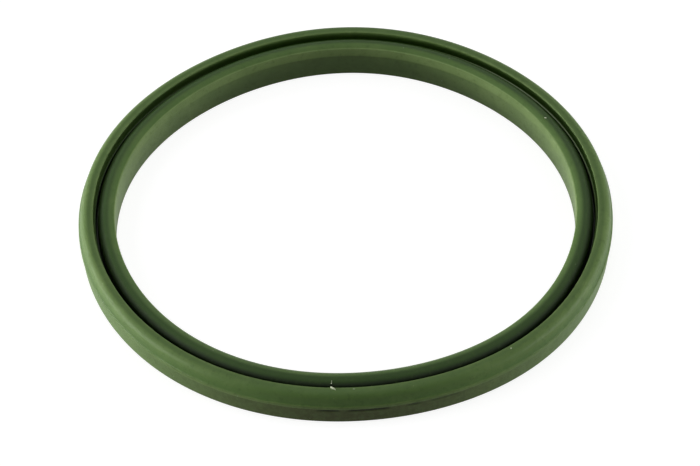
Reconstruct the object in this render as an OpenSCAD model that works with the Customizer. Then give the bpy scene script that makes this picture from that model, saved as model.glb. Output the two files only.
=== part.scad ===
// Moulded rubber sealing ring: a bore wall and a flexible outer lip on one flat base,
// with a groove between them that lets the lip give way.
// The origin is the middle of the flat underside, +Z points out of the groove, lengths are in millimetres.

/* [Ring] */
// Diameter of the bore
bore_d = 65.4; // [50:0.2:90]
// Radial width of the moulded section, from the bore to the bead at the parting line
section_w = 5.3; // [5:0.1:7]
// Height of the outer lip's crest above the underside
lip_height = 5.2; // [4.8:0.1:7]
// Height of the lip's crest above the top of the inner wall
wall_step = 0.05; // [0:0.05:0.5]

/* [Inner wall] */
// Thickness of the inner wall, from the bore to the groove
wall_w = 2.45; // [1.9:0.05:2.6]
// Radius of the wall's domed top, which slopes down into the groove
shoulder_r = 1.9; // [1.2:0.05:2]
// Height above which the bore opens towards the top
bore_part_z = 3; // [2.5:0.1:4]
// Draft of the bore above that height, in degrees
bore_draft = 8; // [1:0.5:9]

/* [Groove] */
// Width of the groove below its mouth
groove_w = 0.4; // [0.35:0.05:0.6]
// Depth of the groove, measured from the lip's crest
groove_depth = 2.6; // [1.8:0.1:3.2]
// Depth of the tapered mouth, measured from the lip's crest
mouth_depth = 1.3; // [0.8:0.1:1.5]
// Radial distance that the mouth opens outward up to the crest
mouth_flare = 0.45; // [0.2:0.01:0.5]

/* [Outer lip] */
// Lean of the lip's outer flank from the vertical, in degrees
flank_lean = 12; // [5:1:15]
// Radius between the crest and the outer flank
crest_r = 1; // [0.3:0.05:1.1]

/* [Lower band] */
// Draft of the outer band below the bead, in degrees
band_draft = 5; // [1:0.5:8]

/* [Bead at the parting line] */
// Height of the lower end of the bead's face above the underside
bead_z = 2.85; // [2.4:0.05:3.1]
// Height of the bead's face
bead_h = 0.4; // [0.3:0.05:0.5]
// Radial distance that the bead stands out from the band below it
bead_out = 0.15; // [0.1:0.01:0.25]

/* [Edge radii] */
// Outer edge of the underside
base_edge_r = 0.25; // [0.1:0.05:0.6]
// Lower edge of the bore
bore_foot_r = 0.1; // [0.1:0.05:0.5]
// Upper edge of the bore
bore_top_r = 0.15; // [0.1:0.05:0.4]
// Inner edge of the lip's crest
lip_edge_r = 0.12; // [0.05:0.01:0.2]
// Edges of the bead and its foot
bead_edge_r = 0.12; // [0.05:0.01:0.15]
// Corners of the groove's floor
floor_r = 0.2; // [0.1:0.05:0.3]

/* [Hidden] */
// A rounding takes up at most this share of the groove's floor
floor_share = 0.45;
// Shortest flat that is kept beside the domed top of the wall and on the crest
least_flat = 0.1;
// Each rounding arc is this much larger than the tangent one, so that it crosses its two edges cleanly
crossing = 1.001;
// How far a rounding's cutter reaches out of the section, in radii
reach = 1.05;
arc_segments = 64;
ring_segments = 240;

bore_r = bore_d / 2;
band_x = section_w - bead_out;
groove_x = wall_w + groove_w;
wall_height = lip_height - wall_step;
groove_floor_z = lip_height - groove_depth;
groove_floor_r = min(floor_r, groove_w * floor_share);
bead_top_z = bead_z + bead_h;
flank_foot_z = bead_top_z + bead_out;
band_top_z = bead_z - bead_out;
base_x = band_x - band_top_z * tan(band_draft);
bore_top_x = (wall_height - bore_part_z) * tan(bore_draft);
crest_start_x = groove_x + mouth_flare;
crest_end_x = band_x - (lip_height - flank_foot_z) * tan(flank_lean);
// Room for the two large roundings
shoulder_fit_r = min(
    shoulder_r,
    wall_w - bore_top_x - bore_top_r - least_flat,
    wall_height - groove_floor_z - groove_floor_r - least_flat
);
crest_fit_r = min(crest_r, (crest_end_x - crest_start_x - lip_edge_r * 2 - least_flat) / tan(45 - flank_lean / 2));

// The section's corners as [distance from the bore, height, edge radius], counter-clockwise from the bore's foot
CORNERS = [
    [0, 0, bore_foot_r],
    [base_x, 0, base_edge_r],
    [band_x, band_top_z, 0],
    [section_w, bead_z, bead_edge_r],
    [section_w, bead_top_z, bead_edge_r],
    [band_x, flank_foot_z, bead_edge_r],
    [crest_end_x, lip_height, crest_fit_r],
    [crest_start_x, lip_height, lip_edge_r],
    [groove_x, lip_height - mouth_depth, 0],
    [groove_x, groove_floor_z, groove_floor_r],
    [wall_w, groove_floor_z, groove_floor_r],
    [wall_w, wall_height, shoulder_fit_r],
    [bore_top_x, wall_height, bore_top_r],
    [0, bore_part_z, 0],
];

function unit(v) = v / norm(v);
function place(i) = let (corner = CORNERS[(i + len(CORNERS)) % len(CORNERS)]) [corner[0], corner[1]];
function edge_radius(i) = CORNERS[i][2];
// Unit vectors from a corner towards the corner before it and the corner after it
function back(i) = unit(place(i - 1) - place(i));
function ahead(i) = unit(place(i + 1) - place(i));
function inward(i) = unit(back(i) + ahead(i));
function half_angle(i) = acos(back(i) * ahead(i)) / 2;
function arc_centre(i) = place(i) + inward(i) * edge_radius(i) / sin(half_angle(i));
function arc_start(i) = place(i) + back(i) * edge_radius(i) / tan(half_angle(i));
function arc_end(i) = place(i) + ahead(i) * edge_radius(i) / tan(half_angle(i));
// An inner corner is one where the outline bends to the right
function is_inner(i) = cross(back(i), ahead(i)) > 0;

module arc_disc(i) {
    translate(arc_centre(i)) circle(r = edge_radius(i) * crossing, $fn = arc_segments);
}

// What is cut from an outer corner to round it
module corner_tip(i) {
    centre = arc_centre(i);
    difference() {
        polygon([
            centre,
            centre + (arc_start(i) - centre) * reach,
            centre + (place(i) - centre) * reach,
            centre + (arc_end(i) - centre) * reach,
        ]);
        arc_disc(i);
    }
}

// The section, with inner corners bevelled first so that a disc can hollow each of them to its radius
module section() {
    rounded = [for (i = [0 : len(CORNERS) - 1]) if (edge_radius(i) > 0) i];
    difference() {
        polygon([for (i = [0 : len(CORNERS) - 1])
            each edge_radius(i) > 0 && is_inner(i) ? [arc_start(i), arc_end(i)] : [place(i)]]);
        for (i = rounded)
            if (is_inner(i)) arc_disc(i);
            else corner_tip(i);
    }
}

module sealing_ring() {
    color([0.28, 0.40, 0.20])
        rotate_extrude($fn = ring_segments)
            translate([bore_r, 0]) section();
}

sealing_ring();
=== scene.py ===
"""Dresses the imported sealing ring: the moulded rubber ring, the lint on it and the studio it lies in."""

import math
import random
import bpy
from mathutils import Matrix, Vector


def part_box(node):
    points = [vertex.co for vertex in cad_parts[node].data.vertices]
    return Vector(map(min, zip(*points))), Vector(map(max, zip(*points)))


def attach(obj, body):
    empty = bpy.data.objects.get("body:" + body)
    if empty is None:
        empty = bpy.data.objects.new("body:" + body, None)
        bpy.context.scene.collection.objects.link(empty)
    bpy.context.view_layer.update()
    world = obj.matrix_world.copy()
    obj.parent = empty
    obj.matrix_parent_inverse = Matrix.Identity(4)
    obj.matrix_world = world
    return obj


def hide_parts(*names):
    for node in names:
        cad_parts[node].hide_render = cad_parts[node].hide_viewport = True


bl_info = {
    "name": "Rubber Sealing Ring",
    "version": (1, 0, 0),
    "blender": (4, 5, 0),
    "location": "3D View > Sidebar > Sealing Ring",
    "description": "Builds a moulded rubber lip ring, the lint on it and its studio",
    "category": "Object",
}

from collections import namedtuple

import bpy
from mathutils import Matrix, Vector
from mathutils.bvhtree import BVHTree

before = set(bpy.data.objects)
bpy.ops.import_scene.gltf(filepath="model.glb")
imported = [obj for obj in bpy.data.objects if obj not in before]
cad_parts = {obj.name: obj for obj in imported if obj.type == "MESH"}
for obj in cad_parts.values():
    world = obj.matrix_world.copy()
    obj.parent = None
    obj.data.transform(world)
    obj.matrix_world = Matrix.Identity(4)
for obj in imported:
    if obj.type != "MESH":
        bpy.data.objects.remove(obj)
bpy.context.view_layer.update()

MM = 0.001
NODE = "sealing_ring"
BODY = "root"
RING_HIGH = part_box(NODE)[1]
OUTSIDE_R = RING_HIGH.x
RING_TOP = RING_HIGH.z
BORE_R = 32.7 * MM
# Width and height of the picture in pixels, and width of the camera's sensor in millimetres
PICTURE = (700, 466)
SENSOR = 36.0


class SectionSizes(bpy.types.PropertyGroup):
    """The moulded section, measured from the bore wall outward and from the underside up"""

    bore_radius: bpy.props.FloatProperty(
        name="Bore radius", description="Radius of the bore wall", default=BORE_R, unit="LENGTH"
    )
    width: bpy.props.FloatProperty(
        name="Width", description="From the bore wall to the face of the bead", default=OUTSIDE_R - BORE_R,
        unit="LENGTH",
    )
    lip_height: bpy.props.FloatProperty(
        name="Lip height", description="Height of the outer lip's crest", default=RING_TOP, unit="LENGTH"
    )
    wall_width: bpy.props.FloatProperty(
        name="Wall thickness", description="From the bore to the groove", default=2.45 * MM, unit="LENGTH"
    )
    dome_radius: bpy.props.FloatProperty(
        name="Dome radius", description="Radius of the wall's rounded top", default=1.6 * MM, unit="LENGTH"
    )
    dome_apex: bpy.props.FloatProperty(
        name="Dome apex", description="Distance of the dome's highest line from the bore", default=1.1 * MM,
        unit="LENGTH",
    )
    bore_draft_foot: bpy.props.FloatProperty(
        name="Bore draft foot", description="Height at which the bore wall starts to open",
        default=3.45 * MM, unit="LENGTH",
    )
    bore_opening: bpy.props.FloatProperty(
        name="Bore opening", description="How far the bore has opened where the dome starts",
        default=0.1 * MM, unit="LENGTH",
    )
    witness: bpy.props.FloatProperty(
        name="Witness line", description="Depth of the fine line below the bore's top edge",
        default=0.05 * MM, unit="LENGTH",
    )
    groove_width: bpy.props.FloatProperty(
        name="Groove width", description="Width of the slot below its mouth", default=0.4 * MM, unit="LENGTH"
    )
    groove_depth: bpy.props.FloatProperty(
        name="Groove depth", description="From the crest to the slot's floor", default=2.6 * MM, unit="LENGTH"
    )
    mouth_depth: bpy.props.FloatProperty(
        name="Mouth depth", description="Depth of the slot's tapered mouth", default=1.3 * MM, unit="LENGTH"
    )
    mouth_flare: bpy.props.FloatProperty(
        name="Mouth flare", description="How far the mouth opens outward", default=0.35 * MM, unit="LENGTH"
    )
    ledge: bpy.props.FloatProperty(
        name="Mouth ledge", description="Width of the fine ledge where the mouth meets the slot",
        default=0.14 * MM, unit="LENGTH",
    )
    flank_lean: bpy.props.FloatProperty(
        name="Flank lean", description="Lean of the lip's outer flank", default=math.radians(12),
        unit="ROTATION",
    )
    crest_radius: bpy.props.FloatProperty(
        name="Crest radius", description="Rounding from the crest to the flank", default=1.0 * MM,
        unit="LENGTH",
    )
    bead_foot: bpy.props.FloatProperty(
        name="Bead foot", description="Height of the lower end of the bead's face", default=2.85 * MM,
        unit="LENGTH",
    )
    bead_height: bpy.props.FloatProperty(
        name="Bead height", description="Height of the bead's face", default=0.4 * MM, unit="LENGTH"
    )
    bead_out: bpy.props.FloatProperty(
        name="Bead stand-out", description="How far the bead stands out of the band below",
        default=0.15 * MM, unit="LENGTH",
    )
    band_draft: bpy.props.FloatProperty(
        name="Band draft", description="Lean of the lower band towards the underside",
        default=math.radians(5), unit="ROTATION",
    )


class RubberFinish(bpy.types.PropertyGroup):
    """The colours and the gloss of the moulded rubber, with the colours of its painted light and shade"""

    green: bpy.props.FloatVectorProperty(
        name="Green", description="Colour of the lip and of the wall's top", subtype="COLOR", size=3,
        min=0, max=1, default=(0.075, 0.14, 0.033),
    )
    # Partly a pale bloom and partly painted light: highlights on the edges and rims, and the side lamps'
    # light on the ring's sides
    bloom: bpy.props.FloatVectorProperty(
        name="Bloom", description="Colour where the rubber has a pale bloom", subtype="COLOR", size=3,
        min=0, max=1, default=(0.18, 0.265, 0.09),
    )
    # Partly a brownish film and partly painted shade on the band and the lower bore at the ring's front and
    # back
    soil: bpy.props.FloatVectorProperty(
        name="Soil", description="Colour of the brownish film near the foot", subtype="COLOR", size=3,
        min=0, max=1, default=(0.056, 0.066, 0.02),
    )
    # Painted shade: the darker green of the dome's top and of the groove's mouth
    deep: bpy.props.FloatVectorProperty(
        name="Deep green", description="Colour of the rubber that the groove keeps clean", subtype="COLOR",
        size=3, min=0, max=1, default=(0.018, 0.052, 0.003),
    )
    # Painted shade where the dome slopes into the groove
    deepest_shade: bpy.props.FloatVectorProperty(
        name="Deepest green", description="Colour where the dome slopes into the groove", subtype="COLOR",
        size=3, min=0, max=1, default=(0.003, 0.006, 0.002),
    )
    # Painted shade in the creases below the bead
    crease: bpy.props.FloatVectorProperty(
        name="Crease", description="Colour in the creases below the bead", subtype="COLOR", size=3,
        min=0, max=1, default=(0.006, 0.009, 0.003),
    )
    # Painted highlight on the bore's top edge and on the mouth's ledge
    painted_highlight: bpy.props.FloatVectorProperty(
        name="Chalk", description="Colour of the palest edges", subtype="COLOR", size=3,
        min=0, max=1, default=(0.3, 0.38, 0.23),
    )
    dust: bpy.props.FloatVectorProperty(
        name="Dust", description="Colour of the specks of dust", subtype="COLOR", size=3,
        min=0, max=1, default=(0.3, 0.36, 0.24),
    )
    roughness: bpy.props.FloatProperty(
        name="Roughness", description="Roughness of the clean rubber", default=0.42, min=0, max=1,
        subtype="FACTOR",
    )
    gloss: bpy.props.FloatProperty(
        name="Gloss", description="Strength of the rubber's reflections", default=0.16, min=0, max=1,
        subtype="FACTOR",
    )


class LintFinish(bpy.types.PropertyGroup):
    """The colours of the dry lint"""

    dark: bpy.props.FloatVectorProperty(
        name="Dark lint", description="Darker tone of the lint", subtype="COLOR", size=3,
        min=0, max=1, default=(0.42, 0.5, 0.3),
    )
    light: bpy.props.FloatVectorProperty(
        name="Light lint", description="Lighter tone of the lint", subtype="COLOR", size=3,
        min=0, max=1, default=(0.72, 0.76, 0.58),
    )
    roughness: bpy.props.FloatProperty(
        name="Lint roughness", description="Roughness of the lint", default=0.85, min=0, max=1,
        subtype="FACTOR",
    )


class StudioSetup(bpy.types.PropertyGroup):
    """The camera's place and its lens"""

    distance: bpy.props.FloatProperty(
        name="Distance", description="From the lens to the ring's origin", default=0.9276, unit="LENGTH"
    )
    elevation: bpy.props.FloatProperty(
        name="Elevation", description="Height of the camera above the table", default=math.radians(45.0),
        unit="ROTATION",
    )
    roll: bpy.props.FloatProperty(
        name="Roll", description="Turn of the camera about its own axis", default=math.radians(1.23),
        unit="ROTATION",
    )
    aside: bpy.props.FloatProperty(
        name="Aside", description="How far the camera stands to the right", default=0.505 * MM, unit="LENGTH"
    )
    down: bpy.props.FloatProperty(
        name="Down", description="How far the camera is lowered in its own plane", default=0.125 * MM,
        unit="LENGTH",
    )
    lens: bpy.props.FloatProperty(
        name="Focal length", description="Focal length in millimetres on a 36 mm wide sensor", default=333.9,
        unit="CAMERA",
    )


# Radii of the section's edges
BORE_FOOT_R = 0.1 * MM
BASE_EDGE_R = 0.25 * MM
BEAD_EDGE_R = 0.12 * MM
LIP_EDGE_R = 0.12 * MM
LEDGE_R = 0.03 * MM
GROOVE_FLOOR_R = 0.18 * MM
DOME_FOOT_R = 0.1 * MM
BORE_BEND_R = 1.0 * MM
# How far the ledge at the mouth rises, as a share of its width
LEDGE_RISE = 0.4
# The witness line's middle and its lower end, measured down from the bore's top edge
WITNESS_MIDDLE = 0.04 * MM
WITNESS_END = 0.09 * MM
# How much nearer to the bore the wall is at the witness line's lower end than at the bore's top edge
WITNESS_STEP = 0.01 * MM
# Chords of the dome, and the angle and least number of chords of an edge rounding
DOME_CHORDS = 14
CHORD_ANGLE = math.radians(10)
LEAST_CHORDS = 4
# Flats from this length up get points between their ends, this far apart and closer below the bead
LONG_FLAT = 0.3 * MM
FLAT_STEP = 0.25 * MM
BAND_STEP = 0.12 * MM
# A point this close to each end keeps the shading of a flat face apart from its roundings
FLAT_END = 0.04 * MM
# Copies of the section round the ring
RING_TURNS = 470


def unit(v):
    """The vector of length 1 along a vector of the section's plane"""
    length = math.hypot(v[0], v[1])
    return (v[0] / length, v[1] / length)


def rounded_corner(before, corner, after, radius):
    """Points of the arc that rounds a corner of the section"""
    back = unit((before[0] - corner[0], before[1] - corner[1]))
    ahead = unit((after[0] - corner[0], after[1] - corner[1]))
    opening = math.acos(max(-1.0, min(1.0, back[0] * ahead[0] + back[1] * ahead[1])))
    inward = unit((back[0] + ahead[0], back[1] + ahead[1]))
    reach = radius / math.sin(opening / 2)
    centre = (corner[0] + inward[0] * reach, corner[1] + inward[1] * reach)
    run = radius / math.tan(opening / 2)
    start = (corner[0] + back[0] * run, corner[1] + back[1] * run)
    end = (corner[0] + ahead[0] * run, corner[1] + ahead[1] * run)
    first = math.atan2(start[1] - centre[1], start[0] - centre[0])
    last = math.atan2(end[1] - centre[1], end[0] - centre[0])
    sweep = (last - first + math.pi) % (2 * math.pi) - math.pi
    chords = max(LEAST_CHORDS, round((math.pi - opening) / CHORD_ANGLE))
    turns = [first + sweep * i / chords for i in range(chords + 1)]
    return [(centre[0] + radius * math.cos(turn), centre[1] + radius * math.sin(turn)) for turn in turns]


def dome_height(x, s):
    """Height of the wall's domed top at a distance from the bore"""
    across = x - s.dome_apex
    return s.lip_height - (s.dome_radius - math.sqrt(s.dome_radius ** 2 - across ** 2))


def section_corners(s):
    """The section's corners as (distance from the bore, height, edge radius), from the bore's foot outward

    A radius of 0 marks a corner that stays sharp, and None a plain point of a smooth curve.
    """
    band = s.width - s.bead_out
    slot = s.wall_width + s.groove_width
    floor = s.lip_height - s.groove_depth
    mouth = s.lip_height - s.mouth_depth
    band_top = s.bead_foot - s.bead_out
    bead_top = s.bead_foot + s.bead_height
    flank_foot = bead_top + s.bead_out
    base = band - band_top * math.tan(s.band_draft)
    crest_end = band - (s.lip_height - flank_foot) * math.tan(s.flank_lean)
    bore_top = dome_height(s.bore_opening, s)
    dome_run = s.bore_opening - s.wall_width
    dome = [s.wall_width + dome_run * i / DOME_CHORDS for i in range(1, DOME_CHORDS)]
    return [
        (0.0, 0.0, BORE_FOOT_R),
        (base, 0.0, BASE_EDGE_R),
        (band, band_top, 0.0),
        (s.width, s.bead_foot, BEAD_EDGE_R),
        (s.width, bead_top, BEAD_EDGE_R),
        (band, flank_foot, BEAD_EDGE_R),
        (crest_end, s.lip_height, s.crest_radius),
        (slot + s.mouth_flare, s.lip_height, LIP_EDGE_R),
        (slot + s.ledge, mouth + s.ledge * LEDGE_RISE, LEDGE_R),
        (slot, mouth, LEDGE_R),
        (slot, floor, GROOVE_FLOOR_R),
        (s.wall_width, floor, GROOVE_FLOOR_R),
        (s.wall_width, dome_height(s.wall_width, s), DOME_FOOT_R),
        *((x, dome_height(x, s), None) for x in dome),
        (s.bore_opening, bore_top, 0.0),
        (s.bore_opening + s.witness, bore_top - WITNESS_MIDDLE, 0.0),
        (s.bore_opening - WITNESS_STEP, bore_top - WITNESS_END, 0.0),
        (0.0, s.bore_draft_foot, BORE_BEND_R),
    ]


def rounded_section(s):
    """The section with its edges rounded, as (distance from the bore, height, whether it stays sharp)"""
    corners = section_corners(s)
    outline = []
    for i, (x, z, radius) in enumerate(corners):
        if radius:
            before, after = corners[i - 1], corners[(i + 1) % len(corners)]
            outline += [(px, pz, False) for px, pz in rounded_corner(before, (x, z), after, radius)]
        else:
            outline.append((x, z, radius == 0))
    return outline


def section_outline(s):
    """The rounded section with points added along its longer flats"""
    outline = rounded_section(s)
    slot = s.wall_width + s.groove_width
    dense = []
    for i, (x, z, sharp) in enumerate(outline):
        dense.append((x, z, sharp))
        next_x, next_z, _ = outline[(i + 1) % len(outline)]
        gap = math.hypot(next_x - x, next_z - z)
        if gap < LONG_FLAT:
            continue
        # The band below the bead gets closer points, for its creases
        on_band = x > slot and z < next_z <= s.bead_foot
        count = max(1, round(gap / (BAND_STEP if on_band else FLAT_STEP)))
        for share in (FLAT_END / gap, *(k / count for k in range(1, count)), 1 - FLAT_END / gap):
            dense.append((x + (next_x - x) * share, z + (next_z - z) * share, False))
    return dense


# The free ring's departure from a circle: number of waves round it, and the size of their cosine and of their
# sine as shares of its radius
ROUNDNESS_WAVES = (
    (2, 0.0024, 0.002),
    (3, -0.0014, -0.0046),
    (4, -0.0001, -0.0017),
    (5, -0.0006, 0.0024),
    (6, -0.0006, 0.0006),
)


def out_of_round(angle):
    """How far the free ring bulges out of a circle at an angle, as a share of its radius"""
    return sum(a * math.cos(k * angle) + b * math.sin(k * angle) for k, a, b in ROUNDNESS_WAVES)


Crease = namedtuple("Crease", "first last depth")

# The shallow creases pressed in below the bead: first and last azimuth in degrees, and depth
CREASES = (
    Crease(-96.9, -91.9, 0.1 * MM),
    Crease(-90.6, -81.6, 0.12 * MM),
    Crease(-77.9, -74.5, 0.07 * MM),
    Crease(-73.0, -66.0, 0.04 * MM),
)
# Their middle line below the band's top, half their height, and the degrees over which an end fades
CREASE_DROP = 0.16 * MM
CREASE_HALF = 0.3 * MM
CREASE_END = 0.7
# How soon a crease reaches its depth between its edge and its middle line
CREASE_STEEPNESS = 2.2
# The depth at which a crease's painted shade is full
CREASE_SHADE_DEPTH = 0.1 * MM


def crease_at(angle, z, s):
    """Depth of the crease below the bead at an angle and a height"""
    middle = s.bead_foot - s.bead_out - CREASE_DROP
    across = 1 - abs(z - middle) / CREASE_HALF
    if across <= 0:
        return 0.0
    degrees = math.degrees(math.atan2(math.sin(angle), math.cos(angle)))
    depth = 0.0
    for crease in CREASES:
        inside = min(degrees - crease.first, crease.last - degrees)
        if inside > 0:
            depth = max(depth, crease.depth * min(1.0, inside / CREASE_END))
    return depth * min(1.0, across * CREASE_STEEPNESS)


def ramp(v, low, high):
    """0 below low, 1 above high and smooth between them"""
    t = max(0.0, min(1.0, (v - low) / (high - low)))
    return t * t * (3 - 2 * t)


def past(v, place, start, end):
    """Whether v is past a place, fading from 0 to 1 between start and end, in millimetres beyond the place"""
    return ramp(v, place + start * MM, place + end * MM)


def within(v, place, rise, fall):
    """Whether v is past a rise and not yet past a fall, each the start and end of a fade as in past"""
    return past(v, place, *rise) * (1 - past(v, place, *fall))


# The zones of the rubber's face, each with its bloom at the ring's sides, its bloom at the ring's ends and
# its soil at the ends. The ends are the ring's front and back as the camera sees it. The bloom is partly a
# pale
# bloom and partly painted light: the bore's edge and the mouth's rim get painted highlights, and the larger
# shares at the sides of the upright bore, the crest, its edge and the band paint the light of the low side
# lamps.
# The soil is partly a brownish film and partly painted shade. Bloom beyond 1 turns to chalk, a painted
# highlight.
ZONE_SHARES = {
    "open_bore": (0.8, 0.95, 0.0),
    "upright_bore": (0.65, 0.1, 0.25),
    "bore_edge": (1.3, 1.2, 0.0),
    "mouth_rim": (0.4, 0.3, 0.0),
    "crest": (0.04, 0.0, 0.0),
    "crest_edge": (0.3, 0.0, 0.0),
    "bead": (0.3, 0.5, 0.3),
    "band": (0.25, 0.0, 0.9),
}


def zone_cover(x, z, s):
    """How much each zone of the rubber's face covers a place of the section, from 0 to 1"""
    slot = s.wall_width + s.groove_width
    on_bore = 1 - past(x, 0, 0.16, 0.22)
    opened = past(z, s.bore_draft_foot, -0.05, 0.15)
    on_outside = past(x, s.width, -0.75, -0.6)
    return {
        "open_bore": on_bore * opened * (1 - past(z, s.lip_height, -0.48, -0.38)),
        "upright_bore": on_bore * (1 - opened),
        "bore_edge": within(z, s.lip_height, (-0.44, -0.4), (-0.34, -0.3)) * (1 - past(x, 0, 0.2, 0.3)),
        "mouth_rim": within(x, slot, (0.26, 0.36), (0.5, 0.75)) * past(z, s.lip_height, -0.6, -0.2),
        "crest": past(x, slot, 0.3, 0.5) * past(z, s.lip_height, -1.6, -0.9),
        "crest_edge": past(x, slot, 1.0, 1.4) * past(z, s.lip_height, -1.6, -0.6),
        "bead": on_outside * within(z, s.bead_foot, (-0.1, 0), (0.42, 0.5)),
        "band": on_outside * (1 - past(z, s.bead_foot, -0.16, -0.04)),
    }


FaceValues = namedtuple("FaceValues", "side_bloom end_bloom end_soil dome_deep mouth_deep ledge")


def face_values(x, z, s):
    """Bloom with painted light and soil with painted shade of a place of the section, the painted shade of
    the dome and of the mouth, and the ledge

    Bloom with painted light and the dome's painted shade go from 0 to 2, the other values from 0 to 1.
    """
    cover = zone_cover(x, z, s)
    slot = s.wall_width + s.groove_width
    mouth = s.lip_height - s.mouth_depth
    bloom_light_and_soil_shade = [sum(cover[zone] * ZONE_SHARES[zone][i] for zone in ZONE_SHARES) for i in range(3)]
    above_floor = past(z, s.lip_height - s.groove_depth, -0.3, 0)
    # The dome gets painted shade: the deep colour on its top, and the deepest on its slope into the groove
    dome_deep = past(x, s.wall_width, -1.7, -1.15) + past(x, s.wall_width, -0.65, -0.1)
    dome_deep *= (1 - past(x, slot, -0.02, 0.12)) * above_floor
    mouth_deep = within(x, slot, (-0.02, 0.12), (0.22, 0.34)) * above_floor
    ledge = within(z, mouth, (-0.04, -0.01), (0.08, 0.12)) * within(x, slot, (-0.02, 0), (0.2, 0.3))
    return FaceValues(*bloom_light_and_soil_shade, dome_deep, mouth_deep, ledge)


# Azimuth of the ring's back right
BACK_RIGHT = math.radians(45)
# How much painted highlight the ledge has there, drawn as bloom that turns to chalk, and how much of its
# painted shade the mouth loses at the left
LEDGE_HIGHLIGHT = 1.9
MOUTH_SHADE_LOSS = 0.85


def ring_faces(count, turns):
    """Quads between the copies of an outline of count points, closed round the ring and round the section"""
    faces = []
    for j in range(turns):
        k = (j + 1) % turns
        for i in range(count):
            m = (i + 1) % count
            faces.append((j * count + i, k * count + i, k * count + m, j * count + m))
    return faces


def lathe_ring(name, s):
    """A closed ring swept from the section's outline, with its zones and creases as point values"""
    outline = section_outline(s)
    face = [face_values(x, z, s) for x, z, _ in outline]
    slot = s.wall_width + s.groove_width
    points = []
    values = {"bloom": [], "soil": [], "deep": [], "crease": []}
    for j in range(RING_TURNS):
        angle = 2 * math.pi * j / RING_TURNS
        bulge = OUTSIDE_R * out_of_round(angle)
        # How far the place is at an end of the ring, at its back right and at its left, as the camera sees
        # the ring; these place painted light and shade
        at_end = abs(math.sin(angle)) ** 4
        at_back_right = max(0.0, math.cos(angle - BACK_RIGHT)) ** 2
        at_left = max(0.0, -math.cos(angle)) ** 2
        for (x, z, _), here in zip(outline, face):
            # A painted highlight on the ledge at the back right, where the light from the left falls on it
            ledge = here.ledge * at_back_right
            # Bloom and painted light, with their own shares at the ring's sides and ends
            bloom = here.side_bloom + (here.end_bloom - here.side_bloom) * at_end + ledge * LEDGE_HIGHLIGHT
            # Painted shade on the dome and in the mouth, of which the mouth keeps less at the left
            deep = here.dome_deep + here.mouth_deep * (1 - MOUTH_SHADE_LOSS * at_left)
            cut = crease_at(angle, z, s) if x > slot else 0.0
            r = s.bore_radius + x + bulge - cut
            points.append((r * math.cos(angle), r * math.sin(angle), z))
            values["bloom"].append(bloom)
            # Soil at the ring's ends: a brownish film and painted shade on the band and the lower bore
            values["soil"].append(here.end_soil * at_end)
            values["deep"].append(deep * (1 - ledge))
            # The creases' darker colour is painted shade
            values["crease"].append(min(1.0, cut / CREASE_SHADE_DEPTH))
    mesh = bpy.data.meshes.new(name)
    count = len(outline)
    faces = ring_faces(count, RING_TURNS)
    mesh.from_pydata(points, [], faces)
    mesh.polygons.foreach_set("use_smooth", [True] * len(faces))
    sharp_places = {i for i, (_, _, sharp) in enumerate(outline) if sharp}
    for edge in mesh.edges:
        a, b = edge.vertices
        if a % count == b % count and a % count in sharp_places:
            edge.use_edge_sharp = True
    for key, numbers in values.items():
        mesh.attributes.new(key, "FLOAT", "POINT").data.foreach_set("value", numbers)
    mesh.validate()
    obj = bpy.data.objects.new(name, mesh)
    bpy.context.scene.collection.objects.link(obj)
    return obj


def new_material(name):
    """A material and its node tree, with no nodes in it yet"""
    material = bpy.data.materials.new(name)
    material.use_nodes = True
    tree = material.node_tree
    tree.nodes.clear()
    return material, tree


def add_node(tree, kind, **values):
    """A node with some of its inputs or settings given"""
    node = tree.nodes.new(kind)
    for key, value in values.items():
        if key in node.inputs:
            node.inputs[key].default_value = value
        else:
            setattr(node, key, value)
    return node


def math_node(tree, operation, a, b=None, clamp=False):
    """A Math node between two sockets or numbers"""
    node = tree.nodes.new("ShaderNodeMath")
    node.operation = operation
    node.use_clamp = clamp
    for socket, value in zip(node.inputs, (a, b)):
        if value is None:
            continue
        if isinstance(value, (int, float)):
            socket.default_value = value
        else:
            tree.links.new(value, socket)
    return node.outputs[0]


def weighted_sum(tree, total, parts):
    """A number or socket plus each part times its weight"""
    for part, weight in parts:
        total = math_node(tree, "ADD", total, math_node(tree, "MULTIPLY", part, weight))
    return total


# Numbers of a Mix node's two colour inputs and of its colour output
MIX_A = 6
MIX_B = 7
MIX_RESULT = 2


def blend_colour(tree, share, a, b):
    """Mixes two colours, each a socket or a plain colour, by a share"""
    node = tree.nodes.new("ShaderNodeMix")
    node.data_type = "RGBA"
    for socket, value in zip((node.inputs["Factor"], node.inputs[MIX_A], node.inputs[MIX_B]), (share, a, b)):
        if isinstance(value, tuple):
            socket.default_value = (*value, 1)
        else:
            tree.links.new(value, socket)
    return node.outputs[MIX_RESULT]


def map_range(tree, value, span, to=(0.0, 1.0)):
    """Brings a span of a value to another span, smoothly and without passing its ends"""
    node = add_node(tree, "ShaderNodeMapRange", interpolation_type="SMOOTHSTEP")
    tree.links.new(value, node.inputs["Value"])
    for key, number in zip(("From Min", "From Max", "To Min", "To Max"), (*span, *to)):
        node.inputs[key].default_value = number
    return node.outputs[0]


def noise_value(tree, place, scale, detail=3.0, roughness=0.5, w=None):
    """Noise from 0 to 1 at a place, with scale features to the metre and w as a fourth coordinate"""
    node = add_node(tree, "ShaderNodeTexNoise", Scale=scale, Detail=detail, Roughness=roughness)
    node.noise_dimensions = "3D" if w is None else "4D"
    tree.links.new(place, node.inputs["Vector"])
    if w is not None:
        tree.links.new(w, node.inputs["W"])
    return node.outputs["Fac"]


# Features to the metre of each pattern in the rubber
STREAK_SCALE = 5200.0
BAND_SCALE = 1500.0
CLOUD_SCALE = 260.0
MOTTLE_SCALE = 1300.0
GRAIN_SCALE = 6500.0
DUST_SCALE = 900.0
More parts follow.
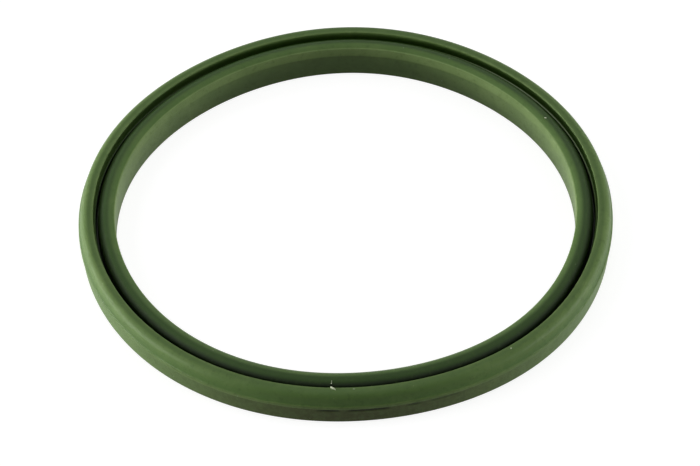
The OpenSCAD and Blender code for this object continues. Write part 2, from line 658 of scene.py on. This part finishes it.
# What is left of a pattern's fineness along the ring where it is drawn out as tool marks are
ALONG_RING = 0.03
# Where most of the noise lies, and the parts of it that show as haze, as full soil with its painted shade and
# as dull patches
NOISE_SPAN = (0.3, 0.7)
HAZE_SPAN = (0.45, 0.75)
SOIL_AND_SHADE_SPAN = (0.3, 0.65)
DULL_SPAN = (0.52, 0.72)
# How far the streaks and the clouds weaken and strengthen the bloom with its painted light, and the mottle
# the soil with its painted shade
STREAKS_ON_BLOOM_AND_LIGHT = (0.72, 1.2)
CLOUDS_ON_BLOOM_AND_LIGHT = (0.85, 1.12)
MOTTLE_ON_SOIL_AND_SHADE = (0.7, 1.1)
# Share of each layer where it is strongest
HAZE_SHARE = 0.16
SHADE_SHARE = 0.92
DEEPEST_SHADE_SHARE = 0.85
DULL_SHARE = 0.3
CREASE_SHADE_SHARE = 0.85
DUST_SHARE = 0.4
# Brightness of the dull patches against the plain green
DULL_GREEN = 0.55
# Share of the dust pattern's cells that stay empty, and the fade at a speck's edge, in cells from its middle
DUST_FREE = 0.93
SPECK_EDGE = (0.05, 0.11)
# Strength of the bumps, and their height where it is 1
BUMP_STRENGTH = 0.35
BUMP_HEIGHT = 0.04 * MM


def ring_patterns(tree, place):
    """Noise in the rubber: streaks and bands drawn out along the ring, clouds, mottle and grain"""
    parts = add_node(tree, "ShaderNodeSeparateXYZ")
    tree.links.new(place, parts.inputs[0])
    x, y, z = parts.outputs
    squares = math_node(tree, "ADD", math_node(tree, "MULTIPLY", x, x), math_node(tree, "MULTIPLY", y, y))
    along = add_node(tree, "ShaderNodeCombineXYZ")
    for socket, value in zip(along.inputs, (x, y)):
        tree.links.new(math_node(tree, "MULTIPLY", value, ALONG_RING), socket)
    tree.links.new(math_node(tree, "SQRT", squares), along.inputs[2])

    def drawn_out(scale, detail):
        return noise_value(tree, along.outputs[0], scale, detail, w=math_node(tree, "MULTIPLY", z, scale))

    streaks = drawn_out(STREAK_SCALE, 2.0)
    bands = drawn_out(BAND_SCALE, 1.0)
    clouds = noise_value(tree, place, CLOUD_SCALE, detail=3.0, roughness=0.6)
    mottle = noise_value(tree, place, MOTTLE_SCALE, detail=3.0, roughness=0.65)
    grain = noise_value(tree, place, GRAIN_SCALE, detail=2.0, roughness=0.7)
    return streaks, bands, clouds, mottle, grain


def dust_specks(tree, place):
    """A mask of a few tiny round specks"""
    cells = add_node(tree, "ShaderNodeTexVoronoi", Scale=DUST_SCALE)
    tree.links.new(place, cells.inputs["Vector"])
    near = map_range(tree, cells.outputs["Distance"], SPECK_EDGE, (1.0, 0.0))
    chance = add_node(tree, "ShaderNodeSeparateColor")
    tree.links.new(cells.outputs["Color"], chance.inputs[0])
    picked = math_node(tree, "GREATER_THAN", chance.outputs[0], DUST_FREE)
    return math_node(tree, "MULTIPLY", near, picked)


def rubber_material(finish):
    """Moulded green rubber: mottled, with circular tool marks, pale bloom and painted light, soil and painted
    shade, and fine dust
    """
    material, tree = new_material("moulded_rubber")
    link = tree.links.new
    place = add_node(tree, "ShaderNodeTexCoord").outputs["Object"]
    streaks, bands, clouds, mottle, grain = ring_patterns(tree, place)

    def given(name):
        return add_node(tree, "ShaderNodeAttribute", attribute_name=name).outputs["Fac"]

    def times(a, b, clamp=False):
        return math_node(tree, "MULTIPLY", a, b, clamp)

    bloom, soil, deep, crease = given("bloom"), given("soil"), given("deep"), given("crease")
    # The bloom and its painted light are uneven along the ring and in clouds, and a thin haze of bloom lies
    # everywhere in clouds
    uneven = times(bloom, map_range(tree, streaks, NOISE_SPAN, STREAKS_ON_BLOOM_AND_LIGHT))
    uneven = times(uneven, map_range(tree, clouds, NOISE_SPAN, CLOUDS_ON_BLOOM_AND_LIGHT), clamp=True)
    haze = times(map_range(tree, clouds, HAZE_SPAN), HAZE_SHARE)
    uneven = math_node(tree, "ADD", uneven, haze, clamp=True)
    # Bloom beyond 1 turns to the chalk colour, a painted highlight
    painted_highlight = math_node(tree, "SUBTRACT", bloom, 1.0, clamp=True)
    # Painted shade on the dome and in the mouth, deepest on the dome's slope into the groove; clean is its
    # cover, which also makes the rubber a little smoother there
    clean = math_node(tree, "MINIMUM", deep, 1.0)
    deepest_shade = math_node(tree, "SUBTRACT", deep, 1.0, clamp=True)
    soiled_and_shaded = times(soil, map_range(tree, mottle, SOIL_AND_SHADE_SPAN, MOTTLE_ON_SOIL_AND_SHADE), clamp=True)
    dull = map_range(tree, mottle, DULL_SPAN)
    colour = tuple(finish.green)
    # Layers over the green: bloom with painted light, painted shade, deepest painted shade, soil with painted
    # shade, dull patches, painted crease shade, chalk as painted highlight, and dust
    for share, over in (
        (uneven, finish.bloom),
        (times(clean, SHADE_SHARE), finish.deep),
        (times(deepest_shade, DEEPEST_SHADE_SHARE), finish.deepest_shade),
        (soiled_and_shaded, finish.soil),
        (times(dull, DULL_SHARE), [v * DULL_GREEN for v in finish.green]),
        # Painted shade in the creases
        (times(crease, CREASE_SHADE_SHARE), finish.crease),
        (painted_highlight, finish.painted_highlight),
        (times(dust_specks(tree, place), DUST_SHARE), finish.dust),
    ):
        colour = blend_colour(tree, share, colour, tuple(over))

    roughness = weighted_sum(
        tree, finish.roughness - 0.05, ((mottle, 0.1), (uneven, 0.12), (soiled_and_shaded, 0.15), (clean, -0.08))
    )
    height = weighted_sum(tree, 0.0, ((grain, 0.5), (mottle, 0.6), (streaks, 0.5), (bands, 0.9)))
    bump = add_node(tree, "ShaderNodeBump", Strength=BUMP_STRENGTH, Distance=BUMP_HEIGHT)
    link(height, bump.inputs["Height"])
    out = add_node(tree, "ShaderNodeOutputMaterial")
    shader = add_node(tree, "ShaderNodeBsdfPrincipled")
    shader.inputs["Specular IOR Level"].default_value = finish.gloss
    link(colour, shader.inputs["Base Color"])
    link(roughness, shader.inputs["Roughness"])
    link(bump.outputs["Normal"], shader.inputs["Normal"])
    link(shader.outputs["BSDF"], out.inputs["Surface"])
    return material


class SEALINGRING_OT_ring(bpy.types.Operator):
    """Builds the moulded rubber ring over its CAD node"""

    bl_idname = "sealing_ring.ring"
    bl_label = "Moulded ring"

    def execute(self, context):
        ring = lathe_ring("moulded_ring", context.scene.sealing_section)
        ring.data.materials.append(rubber_material(context.scene.sealing_finish))
        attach(ring, BODY)
        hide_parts(NODE)
        return {"FINISHED"}


def camera_frame(setup):
    """The camera's right, up and back directions and its place"""
    level_right = Vector((1, 0, 0))
    level_up = Vector((0, math.sin(setup.elevation), math.cos(setup.elevation)))
    back = Vector((0, -math.cos(setup.elevation), math.sin(setup.elevation)))
    place = back * setup.distance + level_right * setup.aside - level_up * setup.down
    right = level_right * math.cos(setup.roll) - level_up * math.sin(setup.roll)
    up = level_right * math.sin(setup.roll) + level_up * math.cos(setup.roll)
    return right, up, back, place


def spot_on_ring(tree, setup, px, py):
    """The point of the ring that the camera sees at a pixel of its picture, and the normal there"""
    right, up, back, place = camera_frame(setup)
    scale = SENSOR / setup.lens / PICTURE[0]
    ray = right * ((px - PICTURE[0] / 2) * scale) - up * ((py - PICTURE[1] / 2) * scale) - back
    spot, normal, _, _ = tree.ray_cast(place, ray.normalized())
    if spot is None:
        raise RuntimeError(f"no rubber under pixel {px}, {py}")
    return spot, normal


# Features to the metre of the lint's tone, and the part of its noise between the dark and the light tone
LINT_SCALE = 5000.0
LINT_SPAN = (0.35, 0.65)


def lint_material(finish):
    """Dry pale lint, uneven in tone"""
    material, tree = new_material("dry_lint")
    link = tree.links.new
    place = add_node(tree, "ShaderNodeTexCoord").outputs["Object"]
    tone = noise_value(tree, place, LINT_SCALE, detail=2.0)
    colour = blend_colour(tree, map_range(tree, tone, LINT_SPAN), tuple(finish.dark), tuple(finish.light))
    out = add_node(tree, "ShaderNodeOutputMaterial")
    shader = add_node(tree, "ShaderNodeBsdfPrincipled", Roughness=finish.roughness)
    link(colour, shader.inputs["Base Color"])
    link(shader.outputs["BSDF"], out.inputs["Surface"])
    return material


Crumb = namedtuple("Crumb", "px py heading length width thickness")

# Crumbs, each with its place in the picture in pixels, the heading there in degrees from the right, and its
# length, width and thickness in millimetres
FLAKE = (Crumb(px=333.0, py=388.4, heading=-28, length=1.0, width=0.36, thickness=0.14),)
SPECKS = (
    Crumb(px=545.7, py=118.1, heading=0, length=0.3, width=0.24, thickness=0.1),
    Crumb(px=331.6, py=382.0, heading=85, length=0.6, width=0.07, thickness=0.04),
    Crumb(px=354.0, py=388.9, heading=0, length=0.34, width=0.1, thickness=0.03),
    Crumb(px=511.1, py=348.1, heading=20, length=0.24, width=0.14, thickness=0.05),
)
NUB = (Crumb(px=97.0, py=186.0, heading=70, length=0.5, width=0.3, thickness=0.12),)
# Start of the random draws for the crumbs' outlines
CRUMB_SEED = 7
# Corners round a crumb, the spread of their distance, and how much broader one end is than the other
CRUMB_CORNERS = 14
CRUMB_WOBBLE = (0.78, 1.12)
CRUMB_TAPER = 0.35
# How deep a crumb is sunk into the rubber, as a share of its thickness
CRUMB_SUNK = 0.5
# Its rings from the bottom up, as shares of its outline and of its thickness
CRUMB_RINGS = ((1.0, -CRUMB_SUNK), (1.0, 0.25), (0.62, 0.85))


def add_crumb(vertices, faces, spot, normal, along, crumb, dice):
    """Adds one flat crumb on the rubber, sunk a little into it"""
    length, width, thickness = crumb.length * MM, crumb.width * MM, crumb.thickness * MM
    side = normal.cross(along)
    first = len(vertices)
    outline = []
    for k in range(CRUMB_CORNERS):
        turn = 2 * math.pi * k / CRUMB_CORNERS
        wobble = dice.uniform(*CRUMB_WOBBLE)
        # Broader at one end than at the other
        taper = 1 - CRUMB_TAPER * math.cos(turn)
        outline.append((math.cos(turn) * length / 2 * wobble, math.sin(turn) * width / 2 * wobble * taper))
    for share, height in CRUMB_RINGS:
        for u, v in outline:
            vertices.append(spot + along * (u * share) + side * (v * share) + normal * (thickness * height))
    vertices.append(spot + normal * thickness)
    vertices.append(spot - normal * (thickness * CRUMB_SUNK))
    top, bottom = len(vertices) - 2, len(vertices) - 1
    levels = len(CRUMB_RINGS) - 1
    last = first + levels * CRUMB_CORNERS
    for k in range(CRUMB_CORNERS):
        m = (k + 1) % CRUMB_CORNERS
        for level in range(levels):
            low = first + level * CRUMB_CORNERS
            high = low + CRUMB_CORNERS
            faces.append((low + k, low + m, high + m, high + k))
        faces.append((last + k, last + m, top))
        faces.append((first + m, first + k, bottom))


def lay_crumbs(name, crumbs, tree, setup, material, dice):
    """One piece with all the crumbs of a list, seated where the camera sees their places on the ring"""
    right, up, back, _ = camera_frame(setup)
    vertices, faces = [], []
    for crumb in crumbs:
        spot, normal = spot_on_ring(tree, setup, crumb.px, crumb.py)
        if normal.dot(back) < 0:
            normal = -normal
        turn = math.radians(crumb.heading)
        along = right * math.cos(turn) + up * math.sin(turn)
        # Slid along the line of sight into the rubber's tangent plane
        along = (along - back * (along.dot(normal) / back.dot(normal))).normalized()
        add_crumb(vertices, faces, spot, normal, along, crumb, dice)
    mesh = bpy.data.meshes.new(name)
    mesh.from_pydata(vertices, [], faces)
    mesh.polygons.foreach_set("use_smooth", [True] * len(faces))
    mesh.validate()
    piece = bpy.data.objects.new(name, mesh)
    piece.data.materials.append(material)
    bpy.context.scene.collection.objects.link(piece)
    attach(piece, BODY)
    return piece


class SEALINGRING_OT_lint(bpy.types.Operator):
    """Lays the crumbs of lint and the mould nub on the ring where the picture shows them"""

    bl_idname = "sealing_ring.lint"
    bl_label = "Lint and nub"

    def execute(self, context):
        ring = bpy.data.objects["moulded_ring"]
        points = [v.co.copy() for v in ring.data.vertices]
        tree = BVHTree.FromPolygons(points, [tuple(p.vertices) for p in ring.data.polygons])
        setup = context.scene.sealing_studio
        lint = lint_material(context.scene.sealing_lint)
        dice = random.Random(CRUMB_SEED)
        lay_crumbs("lint_flake", FLAKE, tree, setup, lint, dice)
        lay_crumbs("lint_specks", SPECKS, tree, setup, lint, dice)
        nub = lay_crumbs("mould_nub", NUB, tree, setup, ring.data.materials[0], dice)
        return {"FINISHED"}


Lamp = namedtuple("Lamp", "name azimuth elevation size power")

# Widths and heights of the lamps, in metres
STRIP = (0.37, 0.085)
PANEL = (0.6, 0.3)
SQUARE = (0.4, 0.4)
# Elevation of the strips that light the ring's sides and of the panels above them, in degrees
STRIP_RISE = 3.6
PANEL_RISE = 50
# The lamps, with azimuth from +X and elevation in degrees, and power in watts
LAMPS = (
    Lamp("left_low", 180, STRIP_RISE, STRIP, 5.0),
    Lamp("left_back_low", 150, STRIP_RISE, STRIP, 1.4),
    Lamp("left_front_low", 215, STRIP_RISE, STRIP, 0.2),
    Lamp("right_low", 0, STRIP_RISE, STRIP, 2.9),
    Lamp("right_front_low", -40, STRIP_RISE, STRIP, 0.2),
    Lamp("left_high", 180, PANEL_RISE, PANEL, 1.1),
    Lamp("back_high", 90, PANEL_RISE, PANEL, 0.5),
    Lamp("right_high", 0, PANEL_RISE, PANEL, 0.7),
    Lamp("above", 90, 88, SQUARE, 0.6),
)
LAMP_DISTANCE = 0.7
# Colour of the table, what it adds where it is seen, and the world's strength where it is seen and as light
TABLE_GREY = (0.35, 0.35, 0.35, 1)
TABLE_GLOW = 0.86
WORLD_SEEN = 1.0
WORLD_LIGHT = 0.02
WHITE = (1, 1, 1, 1)
# Half the table's side, and how far it lies below the underside, so that the two faces don't coincide
TABLE_HALF = 3.0
TABLE_DROP = 0.01 * MM
# Nearest and farthest distance that the camera shows
CLIP_START = 0.01
CLIP_END = 20.0


def add_camera(setup):
    """The camera from which the picture was taken"""
    right, up, back, place = camera_frame(setup)
    camera = bpy.data.objects.new("camera", bpy.data.cameras.new("camera"))
    camera.data.sensor_width = SENSOR
    camera.data.lens = setup.lens
    camera.data.clip_start = CLIP_START
    camera.data.clip_end = CLIP_END
    camera.matrix_world = Matrix((
        (right.x, up.x, back.x, place.x),
        (right.y, up.y, back.y, place.y),
        (right.z, up.z, back.z, place.z),
        (0, 0, 0, 1),
    ))
    bpy.context.scene.collection.objects.link(camera)
    bpy.context.scene.camera = camera


def add_lamp(lamp):
    """A white area lamp that faces the ring"""
    light = bpy.data.lights.new("lamp_" + lamp.name, "AREA")
    light.shape = "RECTANGLE"
    light.size, light.size_y = lamp.size
    light.energy = lamp.power
    obj = bpy.data.objects.new("lamp_" + lamp.name, light)
    azimuth, elevation = math.radians(lamp.azimuth), math.radians(lamp.elevation)
    level = math.cos(elevation)
    away = Vector((math.cos(azimuth) * level, math.sin(azimuth) * level, math.sin(elevation)))
    obj.location = away * LAMP_DISTANCE
    obj.rotation_euler = away.to_track_quat("Z", "Y").to_euler()
    bpy.context.scene.collection.objects.link(obj)


def background_rays(tree):
    """1 for the rays that see the background: from the camera, off a gloss and through glass"""
    path = add_node(tree, "ShaderNodeLightPath")
    seen = math_node(tree, "MAXIMUM", path.outputs["Is Camera Ray"], path.outputs["Is Glossy Ray"])
    return math_node(tree, "MAXIMUM", seen, path.outputs["Is Transmission Ray"])


def seen_or_lit(tree, lit, seen, out):
    """Shows one shader to the rays that see the background and the other to the rest"""
    pick = add_node(tree, "ShaderNodeMixShader")
    tree.links.new(background_rays(tree), pick.inputs[0])
    tree.links.new(lit.outputs[0], pick.inputs[1])
    tree.links.new(seen.outputs[0], pick.inputs[2])
    tree.links.new(pick.outputs[0], out.inputs["Surface"])


def table_material():
    """A table that is seen white, keeps the ring's shadow and throws back only a little light"""
    material, tree = new_material("white_table")
    out = add_node(tree, "ShaderNodeOutputMaterial")
    grey = add_node(tree, "ShaderNodeBsdfDiffuse", Color=TABLE_GREY)
    glow = add_node(tree, "ShaderNodeEmission", Strength=TABLE_GLOW)
    white = add_node(tree, "ShaderNodeAddShader")
    tree.links.new(grey.outputs[0], white.inputs[0])
    tree.links.new(glow.outputs[0], white.inputs[1])
    seen_or_lit(tree, grey, white, out)
    return material


def add_table():
    """The flat table under the ring"""
    mesh = bpy.data.meshes.new("white_table")
    corners = [(x * TABLE_HALF, y * TABLE_HALF, -TABLE_DROP) for x, y in ((-1, -1), (1, -1), (1, 1), (-1, 1))]
    mesh.from_pydata(corners, [], [(0, 1, 2, 3)])
    table = bpy.data.objects.new("white_table", mesh)
    table.data.materials.append(table_material())
    bpy.context.scene.collection.objects.link(table)


def white_world():
    """A world that is seen white and gives almost no light"""
    world = bpy.data.worlds.new("studio")
    world.use_nodes = True
    tree = world.node_tree
    tree.nodes.clear()
    out = add_node(tree, "ShaderNodeOutputWorld")
    seen = add_node(tree, "ShaderNodeBackground", Color=WHITE, Strength=WORLD_SEEN)
    lit = add_node(tree, "ShaderNodeBackground", Color=WHITE, Strength=WORLD_LIGHT)
    seen_or_lit(tree, lit, seen, out)
    bpy.context.scene.world = world


class SEALINGRING_OT_studio(bpy.types.Operator):
    """Sets up the camera, the lamps and the white table"""

    bl_idname = "sealing_ring.studio"
    bl_label = "Studio"

    def execute(self, context):
        add_camera(context.scene.sealing_studio)
        context.scene.view_settings.view_transform = "Standard"
        add_table()
        for lamp in LAMPS:
            add_lamp(lamp)
        white_world()
        return {"FINISHED"}


class SEALINGRING_PT_panel(bpy.types.Panel):
    """Lists the ring's sizes and finishes, and builds its pieces"""

    bl_idname = "SEALINGRING_PT_panel"
    bl_label = "Sealing Ring"
    bl_space_type = "VIEW_3D"
    bl_region_type = "UI"
    bl_category = "Sealing Ring"

    def draw(self, context):
        layout = self.layout
        for name, _ in GROUPS:
            box = layout.box()
            group = getattr(context.scene, name)
            for key in group.bl_rna.properties.keys():
                if key not in ("rna_type", "name"):
                    box.prop(group, key)
        for operator in OPERATORS:
            layout.operator(operator.bl_idname)


OPERATORS = (SEALINGRING_OT_ring, SEALINGRING_OT_lint, SEALINGRING_OT_studio)
GROUPS = (
    ("sealing_section", SectionSizes),
    ("sealing_finish", RubberFinish),
    ("sealing_lint", LintFinish),
    ("sealing_studio", StudioSetup),
)


def register():
    for _, group in GROUPS:
        bpy.utils.register_class(group)
    for name, group in GROUPS:
        setattr(bpy.types.Scene, name, bpy.props.PointerProperty(type=group))
    for cls in (*OPERATORS, SEALINGRING_PT_panel):
        bpy.utils.register_class(cls)


def unregister():
    for cls in reversed((*OPERATORS, SEALINGRING_PT_panel)):
        bpy.utils.unregister_class(cls)
    for name, group in reversed(GROUPS):
        delattr(bpy.types.Scene, name)
        bpy.utils.unregister_class(group)


def main():
    register()
    bpy.ops.sealing_ring.ring()
    bpy.ops.sealing_ring.lint()
    bpy.ops.sealing_ring.studio()


if __name__ == "__main__":
    main()
